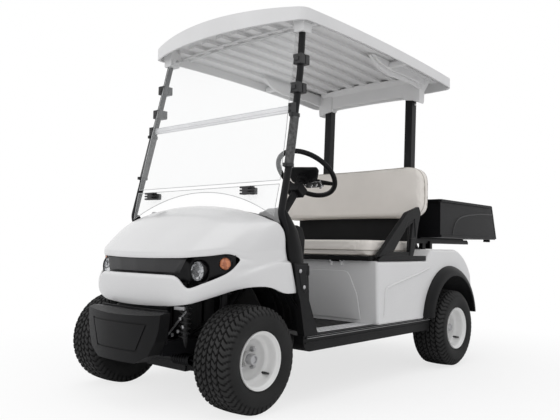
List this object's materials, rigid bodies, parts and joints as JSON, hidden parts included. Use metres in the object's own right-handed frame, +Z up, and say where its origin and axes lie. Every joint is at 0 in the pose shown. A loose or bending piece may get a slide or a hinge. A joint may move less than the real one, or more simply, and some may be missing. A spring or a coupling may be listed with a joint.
{
  "type": "golf cart",
  "caption": "Electric golf cart with a bench seat, roof, clear folding windscreen, steering and a tipping cargo box behind.",
  "frame": {"origin": "on the floor, below the middle of the vehicle's bounding box", "axes": "+X the vehicle's left, +Y its rear, +Z up"},
  "size_m": [1.2418, 2.96, 1.8379],
  "materials": {
    "white_body": "smooth gloss white moulding",
    "roof_white": "fine satin white moulding",
    "black_plastic": "fine-grained black moulding",
    "gloss_black": "smooth gloss black",
    "black_metal": "black powder coat",
    "floor_mat": "ribbed black rubber",
    "tyre": "moulded tread",
    "rim": "white painted steel",
    "drive": "cast and painted grey",
    "battery": "moulded cases",
    "lamp_clear": "clear ribbed lens",
    "lamp_amber": "ribbed amber lens",
    "lamp_red": "ribbed red lens",
    "clear_screen": "clear polycarbonate sheet",
    "bare_aluminium": "satin extrusion",
    "seat_vinyl": "soft grained vinyl",
    "box_black": "rough-grained black moulding"
  },
  "bodies": {
    "chassis": {"frame_rails": "black_metal", "crossmembers": "black_metal", "floor_panel": "floor_mat", "front_suspension": "black_metal", "steering_rack": "black_metal", "steering_column": "black_plastic", "pedals": "black_metal", "rear_drive": "drive", "rear_suspension": "black_metal", "battery_pack": "battery", "front_cowl": "white_body", "light_mask": "gloss_black", "headlamps": "lamp_clear", "turn_lamps": "lamp_amber", "front_bumper": "black_plastic", "struts": "black_metal", "windscreen_lower": "clear_screen", "windscreen_upper": "clear_screen", "windscreen_clips": "black_plastic", "crossbar": "bare_aluminium", "dash": "black_plastic", "kick_panels": "black_plastic", "wheel_liners": "black_plastic", "rear_body": "white_body", "tail_lamps": "lamp_red", "fender_flares": "black_plastic", "sills": "black_plastic", "seat_back": "seat_vinyl", "seat_back_panel": "black_plastic", "armrests": "black_plastic", "rear_posts": "black_metal", "roof_beam": "roof_white", "roof": "roof_white", "bed_frame": "black_metal"},
    "steering_wheel": {"steering_wheel": "black_plastic"},
    "knuckle_left": {"knuckle_left": "black_metal"},
    "knuckle_right": {"knuckle_right": "black_metal"},
    "link_left": {"steering_link_left": "black_metal"},
    "link_right": {"steering_link_right": "black_metal"},
    "wheel_front_left": {"tyre_front_left": "tyre", "rim_front_left": "rim"},
    "wheel_front_right": {"tyre_front_right": "tyre", "rim_front_right": "rim"},
    "wheel_rear_left": {"tyre_rear_left": "tyre", "rim_rear_left": "rim"},
    "wheel_rear_right": {"tyre_rear_right": "tyre", "rim_rear_right": "rim"},
    "seat_lid": {"seat_pan": "black_plastic", "seat_cushion": "seat_vinyl"},
    "cargo_bed": {"cargo_box": "box_black"},
    "tailgate": {"tailgate": "box_black"}
  },
  "joints": [
    {"name": "steering_turn", "type": "hinge", "parent": "chassis", "child": "steering_wheel", "pos_m": [0.27, -0.515, 1.083], "axis": [0, 0.6428, 0.766], "range_deg": [-350, 350]},
    {"name": "steer_left", "type": "hinge", "parent": "chassis", "child": "knuckle_left", "pos_m": [0.316, -1.135, 0.2], "axis": [0, 0, 1], "range_deg": [-25, 25]},
    {"name": "steer_right", "type": "hinge", "parent": "chassis", "child": "knuckle_right", "pos_m": [-0.316, -1.135, 0.2], "axis": [0, 0, 1], "range_deg": [-25, 25]},
    {"name": "link_swing_left", "type": "hinge", "parent": "knuckle_left", "child": "link_left", "pos_m": [0.316, -1.225, 0.198], "axis": [0, 0, 1], "range_deg": [-25, 25]},
    {"name": "link_swing_right", "type": "hinge", "parent": "knuckle_right", "child": "link_right", "pos_m": [-0.316, -1.225, 0.198], "axis": [0, 0, 1], "range_deg": [-25, 25]},
    {"name": "wheel_spin_front_left", "type": "hinge", "parent": "knuckle_left", "child": "wheel_front_left", "pos_m": [0.4515, -1.135, 0.226], "axis": [1, 0, 0], "continuous": true},
    {"name": "wheel_spin_front_right", "type": "hinge", "parent": "knuckle_right", "child": "wheel_front_right", "pos_m": [-0.4515, -1.135, 0.226], "axis": [1, 0, 0], "continuous": true},
    {"name": "wheel_spin_rear_left", "type": "hinge", "parent": "chassis", "child": "wheel_rear_left", "pos_m": [0.5175, 0.535, 0.226], "axis": [1, 0, 0], "continuous": true},
    {"name": "wheel_spin_rear_right", "type": "hinge", "parent": "chassis", "child": "wheel_rear_right", "pos_m": [-0.5175, 0.535, 0.226], "axis": [1, 0, 0], "continuous": true},
    {"name": "seat_lid_lift", "type": "hinge", "parent": "chassis", "child": "seat_lid", "pos_m": [0, -0.283, 0.632], "axis": [1, 0, 0], "range_deg": [0, 70]},
    {"name": "cargo_bed_tip", "type": "hinge", "parent": "chassis", "child": "cargo_bed", "pos_m": [0, 1.315, 0.752], "axis": [-1, 0, 0], "range_deg": [0, 45]},
    {"name": "tailgate_drop", "type": "hinge", "parent": "cargo_bed", "child": "tailgate", "pos_m": [0, 1.468, 0.766], "axis": [-1, 0, 0], "range_deg": [0, 108]}
  ],
  "couplings": [
    {"joint": "steer_left", "follows": "steering_turn", "ratio": 0.071429},
    {"joint": "steer_right", "follows": "steering_turn", "ratio": 0.071429},
    {"joint": "link_swing_left", "follows": "steering_turn", "ratio": -0.071429},
    {"joint": "link_swing_right", "follows": "steering_turn", "ratio": -0.071429}
  ]
}
